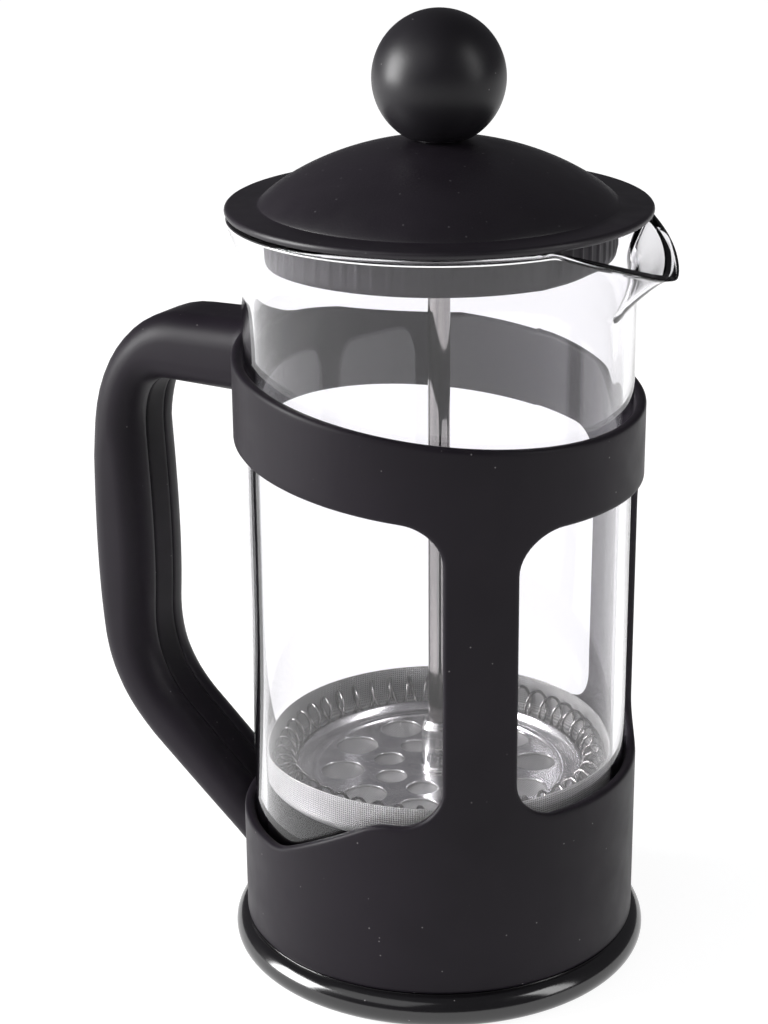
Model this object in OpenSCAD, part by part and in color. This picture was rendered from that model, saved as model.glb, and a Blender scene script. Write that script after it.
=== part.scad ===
// French press with a one-piece plastic frame and handle, a glass beaker with a pouring lip,
// a lid, and a plunger with a spring-edged mesh filter. The origin is on the beaker's axis at the
// level of the table, +Z is up, the pouring lip points to +X and the handle to -X.

/* [Beaker] */
// Outside diameter of the glass
glass_od = 69.6; // [66:0.2:76]
// Thickness of the glass
glass_wall = 2; // [1.6:0.1:2.6]
// Height of the glass, from its underside to its rim
glass_h = 137.4; // [120:0.5:165]
// How much the rim flares outward
rim_flare = 2.4; // [0.5:0.1:3]
// Height over which the rim flares
flare_h = 9; // [6:0.5:14]
// Reach of the pouring lip beyond the outside of the glass
lip_reach = 10.6; // [6:0.2:14]
// How far the lip dips below the rim
lip_dip = 6.7; // [4:0.1:9]
// Length over which the rim dips towards the lip's tip
lip_run = 13.4; // [10:0.2:18]
// Height of the pouring channel under the rim
lip_h = 15.9; // [12:0.1:20]

/* [Frame] */
// Thickness of the frame's wall
frame_wall = 1.9; // [1.5:0.1:3]
// Gap between the glass and the frame
glass_gap = 0.3; // [0.2:0.05:0.5]
// Height of the cup on the lip side
cup_h = 39.6; // [34:0.2:46]
// Height of the cup on the handle side
cup_low = 28.2; // [24:0.2:32]
// Middle height of the band's lower edge
band_low = 97.4; // [88:0.2:104]
// Middle height of the band's upper edge
band_high = 112.3; // [107:0.2:118]
// Rise of the band's lower edge from the axis to the handle
band_low_rise = 4; // [0:0.1:6]
// Rise of the band's upper edge from the axis to the handle
band_high_rise = 4.7; // [0:0.1:6]
// Angle between the lip and the near edge of a leg
leg_near = 38; // [32:1:42]
// Angle between the lip and the far edge of a leg
leg_far = 59; // [54:1:66]
// Radius of the window corners
window_r = 7.5; // [4:0.5:10]
// Thickness of the ledge that the glass stands on
ledge_t = 2; // [1.6:0.1:3]

/* [Handle] */
// Distance from the axis to the outer face of the handle
handle_reach = 74.9; // [70:0.5:85]
// Width of the handle
handle_w = 18; // [15:0.5:22]
// Thickness of the grip, from palm to fingers
grip_t = 12.9; // [11:0.2:16]
// Rounding of the handle's edges
handle_r = 5.2; // [3:0.1:5.4]
// Height of the top of the upper arm
arm_top = 119.4; // [117:0.2:124]
// Depth of the upper arm
arm_h = 18.2; // [15:0.2:20]
// Width of the strip along the inside of the grip
strip_w = 5.8; // [4:0.2:7]
// Thickness of the strip
strip_t = 3; // [2:0.1:4]

/* [Base ring] */
// Height of the glossy ring under the cup
ring_h = 6.5; // [5.5:0.1:9]
// How far the ring stands out from the cup
ring_out = 2.2; // [1:0.1:4]
// Thickness of the floor that closes the ring
ring_floor = 2; // [1.2:0.1:3]

/* [Lid] */
// Radius of the lid's brim
brim_r = 37.4; // [37:0.1:42]
// Thickness of the brim
brim_t = 1.5; // [1.2:0.1:2.5]
// Radius of the foot of the dome
dome_r = 31.5; // [28:0.1:34]
// Height of the dome over the brim
dome_h = 11; // [8:0.1:15]
// Thickness of the lid
lid_wall = 1.7; // [1.2:0.1:2.4]
// Depth of the skirt below the brim
skirt_h = 7.4; // [5:0.1:14]
// Radius of the skirt
skirt_r = 31; // [29:0.1:31.5]
// Thickness of the skirt
skirt_t = 1.4; // [1:0.1:2]

/* [Plunger] */
// Diameter of the rod
rod_d = 4; // [3.6:0.1:5]
// Height of the filter plate above the table when the plunger is down
plate_z = 34.4; // [28:0.2:40]
// Gap between the filter and the glass
filter_gap = 0.35; // [0.2:0.05:0.6]
// Thickness of the filter plates
plate_t = 0.6; // [0.4:0.1:1]
// Diameter of the coil round the plate's edge
coil_d = 4.9; // [4:0.1:6]
// Thickness of the mesh
mesh_t = 0.4; // [0.2:0.05:0.6]
// Height of the mesh above the plate
mesh_h = 7.3; // [6:0.1:9]
// Large holes in the filter plate
large_holes = 10; // [6:1:12]
// Diameter of the large holes
large_hole_d = 8; // [5:0.1:9]
// Distance of the large holes from the axis
large_hole_r = 18.3; // [17:0.1:19]
// Small holes in the filter plate
small_holes = 8; // [5:1:8]
// Diameter of the small holes
small_hole_d = 5.7; // [3:0.1:6]
// Distance of the small holes from the axis
small_hole_r = 10; // [9.5:0.1:10.5]
// Diameter of the hub
hub_d = 7; // [6.6:0.1:8]
// Height of the hub
hub_h = 9.8; // [7:0.1:13]
// Width across the flats of the nut under the filter
nut_af = 7; // [6.5:0.1:8]
// Height of the nut
nut_h = 3.2; // [2.5:0.1:4]

/* [Knob] */
// Diameter of the ball knob
knob_d = 23.2; // [18:0.2:30]
// Diameter of the threaded insert in the knob
insert_d = 6.4; // [6:0.1:8]
// Length of the threaded insert
insert_h = 10; // [7:0.5:12]
// Running clearance of the rod in its guide and its insert
run_gap = 0.05; // [0.02:0.01:0.1]

/* [Hidden] */

round_fn = 96;
corner_steps = 12;
eps = 0.01;
seat_gap = 0.05;      // air between parts of two bodies that rest on each other
far = 200;            // half size of a cutting prism

glass_r = glass_od / 2;
bore_r = glass_r - glass_wall;
rim_r = glass_r + rim_flare;
frame_in = glass_r + glass_gap;
frame_out = frame_in + frame_wall;
ledge_z = ring_floor + ledge_t;
glass_z = ledge_z + seat_gap;
rim_z = glass_z + glass_h;
spigot_r = frame_out - 0.6;     // the cup steps in where it enters the base ring
ledge_in = frame_in - 11;
foot_arc = 3;                   // rounding of the glass at its foot
lip_tip = glass_r + lip_reach;
lip_start = rim_z - lip_h;
lip_r = 5;                      // rounding of the lip at its tip
lip_sink = 0.5;                 // the lip starts this far inside the wall it grows from
lip_slice = 0.4;                // height of the slices that shape the lip
tip_h = lip_dip + 1.6;          // height of the upright edge at the lip's tip
flare_z = rim_z - flare_h;
leg_x = frame_out * cos(leg_far);
leg_y = frame_out * sin(leg_near);

brim_z = rim_z + seat_gap;
dome_z = brim_z + brim_t;
lid_top = dome_z + dome_h;
guide_r = 4;
dome_fall = 2;                  // exponents of the dome's curve: its fall from the top, its foot
dome_foot = 0.85;
guide_lip = 0.15;               // height of the guide's collar over the dome
guide_top = lid_top + guide_lip;
dome_in = skirt_r - skirt_t - 0.8;

rod_r = rod_d / 2;
plate_top = plate_z + plate_t;
coil_r = coil_d / 2;
mesh_out = bore_r - filter_gap;
mesh_in = mesh_out - mesh_t;
coil_gap = 0.2;                 // between the coil and the mesh
coil_ring = mesh_in - coil_gap - coil_r;
coil_z = plate_z + coil_gap + coil_r;
plate_r = coil_ring - coil_r - 0.1;
edge_h = 2.2;                   // height of the filter plate's raised edge
cross_t = 0.9;
cross_r = plate_r - 0.6;
cross_z = plate_z - mesh_t - cross_t;
nut_z = cross_z - nut_h;
rod_z = nut_z - 0.4;
knob_r = knob_d / 2;
knob_flat = 1.5;                // depth of the flat under the ball
knob_z = guide_top + 0.15;
knob_mid = knob_z + knob_r - knob_flat;
rod_top = knob_z + insert_h - 0.6;

// Handle outline as two matching chains of Bezier arcs in [distance from the axis, height].
root_r = frame_in - 1.2;
grip_in = handle_reach - grip_t;
arm_low = arm_top - arm_h;
diagonal_out = 0.84;            // slope of the lower arm's outer and inner edges
diagonal_in = 0.885;
bend_out = [handle_reach - 12.4, cup_low + 1];
bend_in = [grip_in - 7.5, cup_low + 8.2];

function outer_chain(start) = [
    line_arc([start, arm_top], [handle_reach - 22.9, arm_top]),
    [[handle_reach - 22.9, arm_top], [handle_reach - 13.9, arm_top],
     [handle_reach - 0.9, arm_top - 16.4], [handle_reach - 0.2, arm_top - 33.4]],
    [[handle_reach - 0.2, arm_top - 33.4], [handle_reach + 0.2, arm_top - 47.4],
     [handle_reach + 0.3, cup_low + 31.8], [handle_reach - 1, cup_low + 20.8]],
    [[handle_reach - 1, cup_low + 20.8], [handle_reach - 2.3, cup_low + 11.8],
     [bend_out[0] + 6.5, bend_out[1] + 6.3], bend_out],
    line_arc(bend_out, [start, bend_out[1] - diagonal_out * (bend_out[0] - start)])];

function inner_chain(start) = [
    line_arc([start, arm_low], [grip_in - 6, arm_low]),
    [[grip_in - 6, arm_low], [grip_in - 0.5, arm_low],
     [grip_in + 1.6, arm_low - 3.2], [grip_in + 1.4, arm_low - 9.7]],
    [[grip_in + 1.4, arm_low - 9.7], [grip_in + 0.6, arm_low - 21.2],
     [grip_in - 1.4, cup_low + 39.8], [grip_in + 0.5, cup_low + 26.8]],
    [[grip_in + 0.5, cup_low + 26.8], [grip_in + 0.3, cup_low + 19.8],
     [bend_in[0] + 5, bend_in[1] + 4.1], bend_in],
    line_arc(bend_in, [start, bend_in[1] - diagonal_in * (bend_in[0] - start)])];

chain_steps = 8;

function line_arc(a, b) = [a, a + (b - a) / 3, a + (b - a) * 2 / 3, b];
function bezier(p, t) = pow(1 - t, 3) * p[0] + 3 * t * pow(1 - t, 2) * p[1]
    + 3 * t * t * (1 - t) * p[2] + pow(t, 3) * p[3];
function chain_points(chain) = concat([chain[0][0]],
    [for (arc = chain) for (i = [1:chain_steps]) bezier(arc, i / chain_steps)]);
function arc_points(c, r, a0, a1, n = corner_steps) =
    [for (i = [0:n]) c + r * [cos(a0 + (a1 - a0) * i / n), sin(a0 + (a1 - a0) * i / n)]];
function unit(v) = v / norm(v);

// Corner b of the outline a-b-c, rounded with radius r.
function round_corner(a, b, c, r) =
    let (u = unit(a - b), v = unit(c - b), half = acos(u * v) / 2,
         m = b + unit(u + v) * r / sin(half),
         p = b + u * r / tan(half), q = b + v * r / tan(half),
         a0 = atan2(p[1] - m[1], p[0] - m[0]),
         a1 = atan2(q[1] - m[1], q[0] - m[0]),
         turn = a1 - a0 > 180 ? a1 - a0 - 360 : a1 - a0 < -180 ? a1 - a0 + 360 : a1 - a0)
    arc_points(m, r, a0, a0 + turn);

function band_edge(mid, rise, x) = mid - rise * x / frame_out;
function dome_at(r) = dome_z + dome_h * pow(1 - pow(r / dome_r, dome_fall), dome_foot);

// Cross-section of the handle, as [from the inner face outward, across], with the strip's groove.
function handle_section(t) =
    let (r = min(handle_r, t / 2 - 0.2), s = handle_w / 2 - r, n = strip_w / 2 + run_gap,
         d = strip_t + run_gap)
    concat(arc_points([r, s], r, 180, 90, 5), arc_points([t - r, s], r, 90, 0, 5),
           arc_points([t - r, -s], r, 0, -90, 5), arc_points([r, -s], r, -90, -180, 5),
           [[0, -n], [d, -n], [d, n], [0, n]]);
function strip_section() =
    [[0.1, strip_w / 2], [strip_t, strip_w / 2], [strip_t, -strip_w / 2], [0.1, -strip_w / 2],
     [-0.15, -strip_w / 2 + 0.5], [-0.15, strip_w / 2 - 0.5]];

// A prism over an outline in the X-Z plane.
module xz_prism(outline, half) {
    rotate([90, 0, 0]) linear_extrude(height = 2 * half, center = true) polygon(outline);
}

// The ends of the swept solids, cut into convex faces.
handle_ends = [concat([26, 27], [for (j = [0:11]) j]), concat([25], [for (j = [12:24]) j]),
               [26, 11, 12, 25]];
strip_ends = [[0, 1, 2, 3, 4, 5]];
function flipped(f) = concat([f[0]], [for (j = [len(f) - 1:-1:1]) f[j]]);

// A solid swept through sections that span from the inner to the outer chain.
module handle_sweep(start, sections, ends) {
    inner = chain_points(inner_chain(start));
    outer = chain_points(outer_chain(start));
    rings = len(inner);
    m = len(sections[0]);
    points = [for (i = [0:rings - 1]) for (q = sections[i])
        let (e = unit(outer[i] - inner[i]), p = inner[i] + e * q[0]) [-p[0], q[1], p[1]]];
    sides = [for (i = [0:rings - 2]) for (j = [0:m - 1])
        [i * m + j, i * m + (j + 1) % m, (i + 1) * m + (j + 1) % m, (i + 1) * m + j]];
    first = [for (f = ends) flipped(f)];
    last = [for (f = ends) [for (j = f) (rings - 1) * m + j]];
    polyhedron(points, concat(sides, first, last), convexity = 6);
}

module frame() {
    side_window = concat(
        [[-far, cup_low]],
        round_corner([-far, cup_low], [-15, cup_low], [7.5, cup_h], 12),
        round_corner([-15, cup_low], [7.5, cup_h], [leg_x, cup_h], 12),
        round_corner([0, cup_h], [leg_x, cup_h], [leg_x, band_low], window_r),
        round_corner([leg_x, cup_h], [leg_x, band_edge(band_low, band_low_rise, leg_x)],
                     [-far, band_edge(band_low, band_low_rise, -far)], window_r),
        [[-far, band_edge(band_low, band_low_rise, -far)]]);
    lip_top = band_edge(band_low, band_low_rise, frame_in);
    lip_window = concat(
        round_corner([0, cup_h], [leg_y, cup_h], [leg_y, lip_top], window_r),
        round_corner([leg_y, cup_h], [leg_y, lip_top], [-leg_y, lip_top], window_r),
        round_corner([leg_y, lip_top], [-leg_y, lip_top], [-leg_y, cup_h], window_r),
        round_corner([-leg_y, lip_top], [-leg_y, cup_h], [0, cup_h], window_r));
    inner = chain_points(inner_chain(root_r));
    outer = chain_points(outer_chain(root_r));
    color("#2d2a2e") difference() {
        union() {
            difference() {
                intersection() {
                    translate([0, 0, ring_h]) cylinder(r = frame_out, h = far, $fn = round_fn);
                    xz_prism([[-far, 0], [far, 0], [far, band_edge(band_high, band_high_rise, far)],
                              [-far, band_edge(band_high, band_high_rise, -far)]], far);
                }
                xz_prism(side_window, far);
                translate([leg_x, 0, 0]) rotate([90, 0, 90]) linear_extrude(height = far)
                    polygon(lip_window);
            }
            handle_sweep(root_r, [for (i = [0:len(inner) - 1])
                handle_section(norm(outer[i] - inner[i]))], handle_ends);
        }
        cylinder(r = frame_in, h = far, $fn = round_fn);
    }
    color("#2d2a2e") difference() {
        translate([0, 0, ring_floor]) cylinder(r = spigot_r, h = ring_h - ring_floor, $fn = round_fn);
        translate([0, 0, ledge_z]) cylinder(r = frame_in, h = far, $fn = round_fn);
        cylinder(r = ledge_in, h = far, $fn = round_fn);
    }
}

module handle_strip() {
    start = frame_out + seat_gap;
    color("#232126") handle_sweep(start, [for (i = [0:5 * chain_steps]) strip_section()], strip_ends);
}

module base_ring() {
    bead = ring_h / 2;
    bead_mid = frame_out + ring_out - bead;
    color("#17151a") rotate_extrude($fn = round_fn) difference() {
        polygon(concat([[0, 0]], arc_points([bead_mid, bead], bead, -90, 90, 24), [[0, ring_h]]));
        translate([0, ring_floor]) square([spigot_r, ring_h]);
    }
}

module glass_beaker() {
    outer = concat([[0, glass_z]], arc_points([glass_r - foot_arc, glass_z + foot_arc], foot_arc, -90, 0),
                   [[glass_r, flare_z], [rim_r, rim_z]]);
    inner = concat([[rim_r - glass_wall, rim_z], [bore_r, flare_z]],
                   arc_points([bore_r - foot_arc, glass_z + glass_wall + foot_arc], foot_arc, 0, -90),
                   [[0, glass_z + glass_wall]]);
    color("lightblue", 0.35) difference() {
        union() {
            rotate_extrude($fn = round_fn) polygon(concat(outer, inner));
            difference() {
                lip_hull(glass_r - lip_sink, lip_tip, lip_r, lip_start);
                translate([0, 0, lip_start - 1]) cylinder(r = glass_r - 1, h = far, $fn = round_fn);
            }
        }
        lip_hull(bore_r - lip_sink, lip_tip - glass_wall, lip_r - glass_wall, lip_start + glass_wall);
        xz_prism([[lip_tip - lip_run, rim_z], [far, rim_z - lip_dip / lip_run * (far - lip_tip + lip_run)],
                  [far, far], [lip_tip - lip_run, far]], far);
    }
}

// The pouring channel: from a ring round the wall out to the rounded tip.
module lip_hull(wall_r, tip, r, low) {
    hull() {
        translate([0, 0, low]) cylinder(r = wall_r, h = lip_slice, $fn = 48);
        translate([0, 0, flare_z]) cylinder(r = wall_r, h = lip_slice, $fn = 48);
        translate([0, 0, rim_z - eps]) cylinder(r = wall_r + rim_flare, h = eps, $fn = 48);
        translate([tip - r, 0, low + lip_h - tip_h]) cylinder(r = r, h = tip_h, $fn = 32);
    }
}

module lid_dome() {
    radii = [for (i = [0:24]) dome_r * sin(90 * i / 24)];
    top = [for (i = [24:-1:0]) if (radii[i] > guide_r) [radii[i], dome_at(radii[i])]];
    under = [for (i = [0:24]) if (radii[i] > guide_r && radii[i] < dome_in)
        [radii[i], dome_at(radii[i]) - lid_wall]];
    color("#39353b") rotate_extrude($fn = round_fn) polygon(concat(
        arc_points([brim_r - brim_t / 2, brim_z + brim_t / 2], brim_t / 2, -90, 90, 8), top,
        [[guide_r, dome_at(guide_r)], [guide_r, dome_at(guide_r) - lid_wall]], under,
        [[dome_in, dome_at(dome_in) - lid_wall], [dome_in, brim_z]]));
}

module lid_skirt() {
    ribs = 36;
    color("#3b3a40") {
        difference() {
            translate([0, 0, brim_z - skirt_h]) cylinder(r = skirt_r, h = skirt_h, $fn = round_fn);
            translate([0, 0, brim_z - skirt_h - 1]) cylinder(r = skirt_r - skirt_t, h = far, $fn = round_fn);
        }
        for (i = [0:ribs - 1]) rotate([0, 0, i * 360 / ribs])
            translate([skirt_r - 0.2, -0.4, brim_z - skirt_h + 1]) cube([0.5, 0.8, skirt_h - 1]);
    }
}

module rod_guide() {
    low = dome_at(guide_r) - lid_wall;
    color("#242226") rotate_extrude($fn = round_fn) difference() {
        union() {
            translate([0, low - 2]) square([guide_r, guide_top - low + 2]);
            translate([0, low - 2]) square([guide_r + 1.2, 2]);
        }
        translate([0, 0]) square([rod_r + run_gap, far]);
    }
}

module plunger_rod() {
    tip = 0.5;
    color("silver") rotate_extrude($fn = round_fn)
        polygon([[0, rod_z], [rod_r - tip, rod_z], [rod_r, rod_z + tip], [rod_r, rod_top - tip],
                 [rod_r - tip, rod_top], [0, rod_top]]);
}

module filter_hub() {
    top = plate_top + hub_h;
    bevel = 1.1;
    color("silver") rotate_extrude($fn = round_fn)
        polygon([[rod_r, plate_top], [hub_d / 2, plate_top], [hub_d / 2, top - bevel],
                 [hub_d / 2 - bevel * 0.8, top], [rod_r, top]]);
}

module hole_ring(count, d, r, turn = 0) {
    for (i = [0:count - 1]) rotate([0, 0, turn + i * 360 / count])
        translate([r, 0, 0]) cylinder(d = d, h = far, $fn = 32);
}

module spring_plate() {
    bead_at = large_hole_r + large_hole_d / 2 + 1.3;
    color("#c9c9cc") difference() {
        rotate_extrude($fn = round_fn) union() {
            translate([rod_r, plate_z]) square([plate_r - rod_r, plate_t]);
            translate([plate_r - plate_t, plate_z]) square([plate_t, edge_h]);
            translate([bead_at, plate_top - 0.1]) circle(r = 0.7, $fn = 24);
        }
        translate([0, 0, plate_z - 1]) hole_ring(large_holes, large_hole_d, large_hole_r);
        translate([0, 0, plate_z - 1]) hole_ring(small_holes, small_hole_d, small_hole_r, 12);
        translate([0, 0, plate_z - 2]) cylinder(r = plate_r, h = 2, $fn = round_fn);
    }
}

module edge_spring() {
    color("#d6d6d8") rotate_extrude($fn = round_fn)
        translate([coil_ring, coil_z]) circle(r = coil_r, $fn = 32);
}

module mesh_screen() {
    c = [coil_ring, coil_z];
    low = coil_z - coil_r - coil_gap - mesh_t;
    color("#b9b9bb") rotate_extrude($fn = round_fn) polygon(concat(
        [[rod_r, low]], arc_points(c, mesh_out - coil_ring, -90, 0),
        [[mesh_out, plate_z + mesh_h], [mesh_in, plate_z + mesh_h]],
        arc_points(c, mesh_in - coil_ring, 0, -90), [[rod_r, low + mesh_t]]));
}

module cross_plate() {
    color("#c4c4c8") difference() {
        translate([0, 0, cross_z]) cylinder(r = cross_r, h = cross_t, $fn = round_fn);
        translate([0, 0, cross_z - 1]) cylinder(r = rod_r, h = far, $fn = round_fn);
        translate([0, 0, cross_z - 1]) hole_ring(large_holes, large_hole_d, large_hole_r);
        translate([0, 0, cross_z - 1]) hole_ring(small_holes, small_hole_d, small_hole_r, 12);
    }
}

module hub_nut() {
    color("silver") difference() {
        translate([0, 0, nut_z]) cylinder(d = nut_af / cos(30), h = nut_h, $fn = 6);
        translate([0, 0, nut_z - 1]) cylinder(r = rod_r, h = far, $fn = round_fn);
    }
}

module knob() {
    color("#131216") difference() {
        translate([0, 0, knob_mid]) sphere(r = knob_r, $fn = round_fn);
        translate([0, 0, knob_z - far]) cylinder(r = far, h = far, $fn = round_fn);
        translate([0, 0, knob_z - 1]) cylinder(d = insert_d, h = insert_h + 1, $fn = round_fn);
    }
}

module knob_insert() {
    color("#b08d3c") difference() {
        translate([0, 0, knob_z]) cylinder(d = insert_d, h = insert_h, $fn = round_fn);
        translate([0, 0, knob_z - 1]) cylinder(r = rod_r + run_gap, h = insert_h + 0.5, $fn = round_fn);
    }
}

frame();
handle_strip();
base_ring();
glass_beaker();
lid_dome();
lid_skirt();
rod_guide();
plunger_rod();
filter_hub();
spring_plate();
edge_spring();
mesh_screen();
cross_plate();
hub_nut();
knob();
knob_insert();
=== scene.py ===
import math

import bmesh
import bpy
from mathutils import Matrix, Vector


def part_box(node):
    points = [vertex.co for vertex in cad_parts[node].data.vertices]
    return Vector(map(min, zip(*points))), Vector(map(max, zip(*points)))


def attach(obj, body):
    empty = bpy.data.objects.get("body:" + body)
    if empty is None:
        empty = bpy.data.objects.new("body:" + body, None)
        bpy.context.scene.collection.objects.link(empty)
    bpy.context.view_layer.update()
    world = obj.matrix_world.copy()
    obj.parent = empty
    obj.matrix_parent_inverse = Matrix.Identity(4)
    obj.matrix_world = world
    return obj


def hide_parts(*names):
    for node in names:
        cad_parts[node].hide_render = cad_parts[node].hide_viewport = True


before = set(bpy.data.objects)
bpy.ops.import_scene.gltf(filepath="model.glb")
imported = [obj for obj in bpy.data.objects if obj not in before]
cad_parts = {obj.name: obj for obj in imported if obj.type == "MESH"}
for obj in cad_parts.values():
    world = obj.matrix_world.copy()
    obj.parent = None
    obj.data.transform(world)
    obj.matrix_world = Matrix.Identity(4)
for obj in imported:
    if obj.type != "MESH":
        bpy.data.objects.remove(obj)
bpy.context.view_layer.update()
mm = 0.001

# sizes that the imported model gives, in millimetres
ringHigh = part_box("base_ring")[1] / mm
shellLow, shellHigh = [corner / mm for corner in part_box("frame")]
glassLow, glassHigh = [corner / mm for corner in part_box("glass_beaker")]
brimLow, brimHigh = [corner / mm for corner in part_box("lid_dome")]
ballLow, ballHigh = [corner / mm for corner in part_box("knob")]
plateLow, plateHigh = [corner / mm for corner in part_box("spring_plate")]
coilLow, coilHigh = [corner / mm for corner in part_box("edge_spring")]
meshLow, meshHigh = [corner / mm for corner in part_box("mesh_screen")]
rodLow, rodHigh = [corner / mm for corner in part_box("plunger_rod")]
hubLow, hubHigh = [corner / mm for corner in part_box("filter_hub")]
skirtLow, skirtHigh = [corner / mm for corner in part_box("lid_skirt")]
print("frame loaded")


# mesh helpers: every shape is drawn in millimetres
def arcPoints(centre, radius, start, end, steps=10):
    points = []
    for i in range(steps + 1):
        angle = math.radians(start + (end - start) * i / steps)
        points.append((centre[0] + radius * math.cos(angle), centre[1] + radius * math.sin(angle)))
    return points


def roundedCorner(before, corner, after, radius, steps=12):
    # an arc that touches both sides of the corner
    b = Vector(corner)
    u = (Vector(before) - b).normalized()
    v = (Vector(after) - b).normalized()
    half = u.angle(v) / 2
    centre = b + (u + v).normalized() * radius / math.sin(half)
    p = b + u * radius / math.tan(half) - centre
    q = b + v * radius / math.tan(half) - centre
    start = math.degrees(math.atan2(p.y, p.x))
    turn = math.degrees(math.atan2(q.y, q.x)) - start
    turn = (turn + 180) % 360 - 180
    return arcPoints(centre, radius, start, start + turn, steps)


def softPath(points, radius, steps=4):
    # rounds every inner corner of an open outline
    path = [points[0]]
    for before, corner, after in zip(points, points[1:], points[2:]):
        path += roundedCorner(before, corner, after, radius, steps)
    return path + [points[-1]]


def addPiece(name, bm, material, body, nodes=(), smooth=True):
    mesh = bpy.data.meshes.new(name)
    bmesh.ops.recalc_face_normals(bm, faces=bm.faces)
    bmesh.ops.scale(bm, vec=(mm, mm, mm), verts=bm.verts)
    bm.to_mesh(mesh)
    bm.free()
    for face in mesh.polygons:
        face.use_smooth = smooth
    piece = bpy.data.objects.new(name, mesh)
    bpy.context.scene.collection.objects.link(piece)
    mesh.materials.append(material)
    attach(piece, body)
    if nodes:
        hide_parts(*nodes)
    return piece


def turnOutline(bm, outline, segments=160, closed=True):
    # revolves [radius, height] points about the upright axis
    rings = []
    for radius, height in outline:
        if radius < 1e-6:
            rings.append([bm.verts.new((0, 0, height))] * segments)
            continue
        ring = []
        for k in range(segments):
            angle = 2 * math.pi * k / segments
            ring.append(bm.verts.new((radius * math.cos(angle), radius * math.sin(angle), height)))
        rings.append(ring)
    count = len(rings) if closed else len(rings) - 1
    for i in range(count):
        a, b = rings[i], rings[(i + 1) % len(rings)]
        for k in range(segments):
            n = (k + 1) % segments
            corners = []
            for vert in (a[k], a[n], b[n], b[k]):
                if vert not in corners:
                    corners.append(vert)
            if len(corners) > 2:
                bm.faces.new(corners)
    return bm


def offsetLine(points, distance, closed):
    # moves a line to its left
    moved = []
    last = len(points) - 1
    for i, point in enumerate(points):
        if closed:
            a, c = points[i - 1], points[(i + 1) % len(points)]
        else:
            a, c = points[max(i - 1, 0)], points[min(i + 1, last)]
        dx, dy = c[0] - a[0], c[1] - a[1]
        length = math.hypot(dx, dy)
        du = 0 if not closed and i in (0, last) else -dy / length * distance
        moved.append((point[0] + du, point[1] + dx / length * distance))
    return moved


def roundedSlab(closedLines, openLines, thickness, edge, margin):
    # a flat plate with rounded edges, drawn as (across, up, depth); material lies to the left of each line
    steps = [(edge + margin, 0)]
    steps += [(edge - edge * math.sin(a), edge - edge * math.cos(a)) for a in
              (math.radians(22.5 * k) for k in range(5))]
    steps += [(d, thickness - t) for d, t in reversed(steps)]
    bm = bmesh.new()
    ends = ([], [])
    openRows = []
    for line, closed in [(l, True) for l in closedLines] + [(l, False) for l in openLines]:
        rows = [[bm.verts.new((x, y, depth)) for x, y in offsetLine(line, inset, closed)]
                for inset, depth in steps]
        count = len(line) if closed else len(line) - 1
        for a, b in zip(rows, rows[1:]):
            for k in range(count):
                n = (k + 1) % len(line)
                bm.faces.new((a[k], a[n], b[n], b[k]))
        for side, row in ((0, rows[0]), (1, rows[-1])):
            for k in range(count):
                ends[side].append(bm.edges.get((row[k], row[(k + 1) % len(line)])))
        if not closed:
            openRows.append(rows)
    if openRows:
        low, high = openRows
        for side, row in ((0, 0), (1, -1)):
            ends[side].append(bm.edges.new((low[row][-1], high[row][0])))
            ends[side].append(bm.edges.new((high[row][-1], low[row][0])))
    for side in ends:
        bmesh.ops.triangle_fill(bm, use_beauty=True, use_dissolve=False, edges=side)
    return bm


def cutUpright(bm, start, end, step):
    # cuts a flat plate into narrow strips, so that it bends round smoothly
    count = int(round((end - start) / step))
    for k in range(1, count):
        bmesh.ops.bisect_plane(bm, geom=bm.verts[:] + bm.edges[:] + bm.faces[:], dist=1e-5,
                               plane_co=(start + k * step, 0, 0), plane_no=(1, 0, 0))


# finishes
def newFinish(name):
    material = bpy.data.materials.new(name)
    material.use_nodes = True
    nodes = material.node_tree.nodes
    return material, nodes, material.node_tree.links, nodes["Principled BSDF"]


def noiseNode(nodes, links, scale, detail=2.0, stretch=None):
    place = nodes.new("ShaderNodeTexCoord")
    noise = nodes.new("ShaderNodeTexNoise")
    noise.inputs["Scale"].default_value = scale
    noise.inputs["Detail"].default_value = detail
    if stretch:
        mapping = nodes.new("ShaderNodeMapping")
        mapping.inputs["Scale"].default_value = stretch
        links.new(place.outputs["Object"], mapping.inputs["Vector"])
        links.new(mapping.outputs["Vector"], noise.inputs["Vector"])
    else:
        links.new(place.outputs["Object"], noise.inputs["Vector"])
    return noise


def rangeNode(nodes, links, source, low, high, fromLow=0.3, fromHigh=0.7):
    node = nodes.new("ShaderNodeMapRange")
    node.inputs["From Min"].default_value = fromLow
    node.inputs["From Max"].default_value = fromHigh
    node.inputs["To Min"].default_value = low
    node.inputs["To Max"].default_value = high
    links.new(source, node.inputs["Value"])
    return node


def addBump(nodes, links, shader, height, strength, distance, before=None):
    bump = nodes.new("ShaderNodeBump")
    bump.inputs["Strength"].default_value = strength
    bump.inputs["Distance"].default_value = distance
    links.new(height, bump.inputs["Height"])
    if before:
        links.new(before.outputs["Normal"], bump.inputs["Normal"])
    links.new(bump.outputs["Normal"], shader.inputs["Normal"])
    return bump


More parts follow.
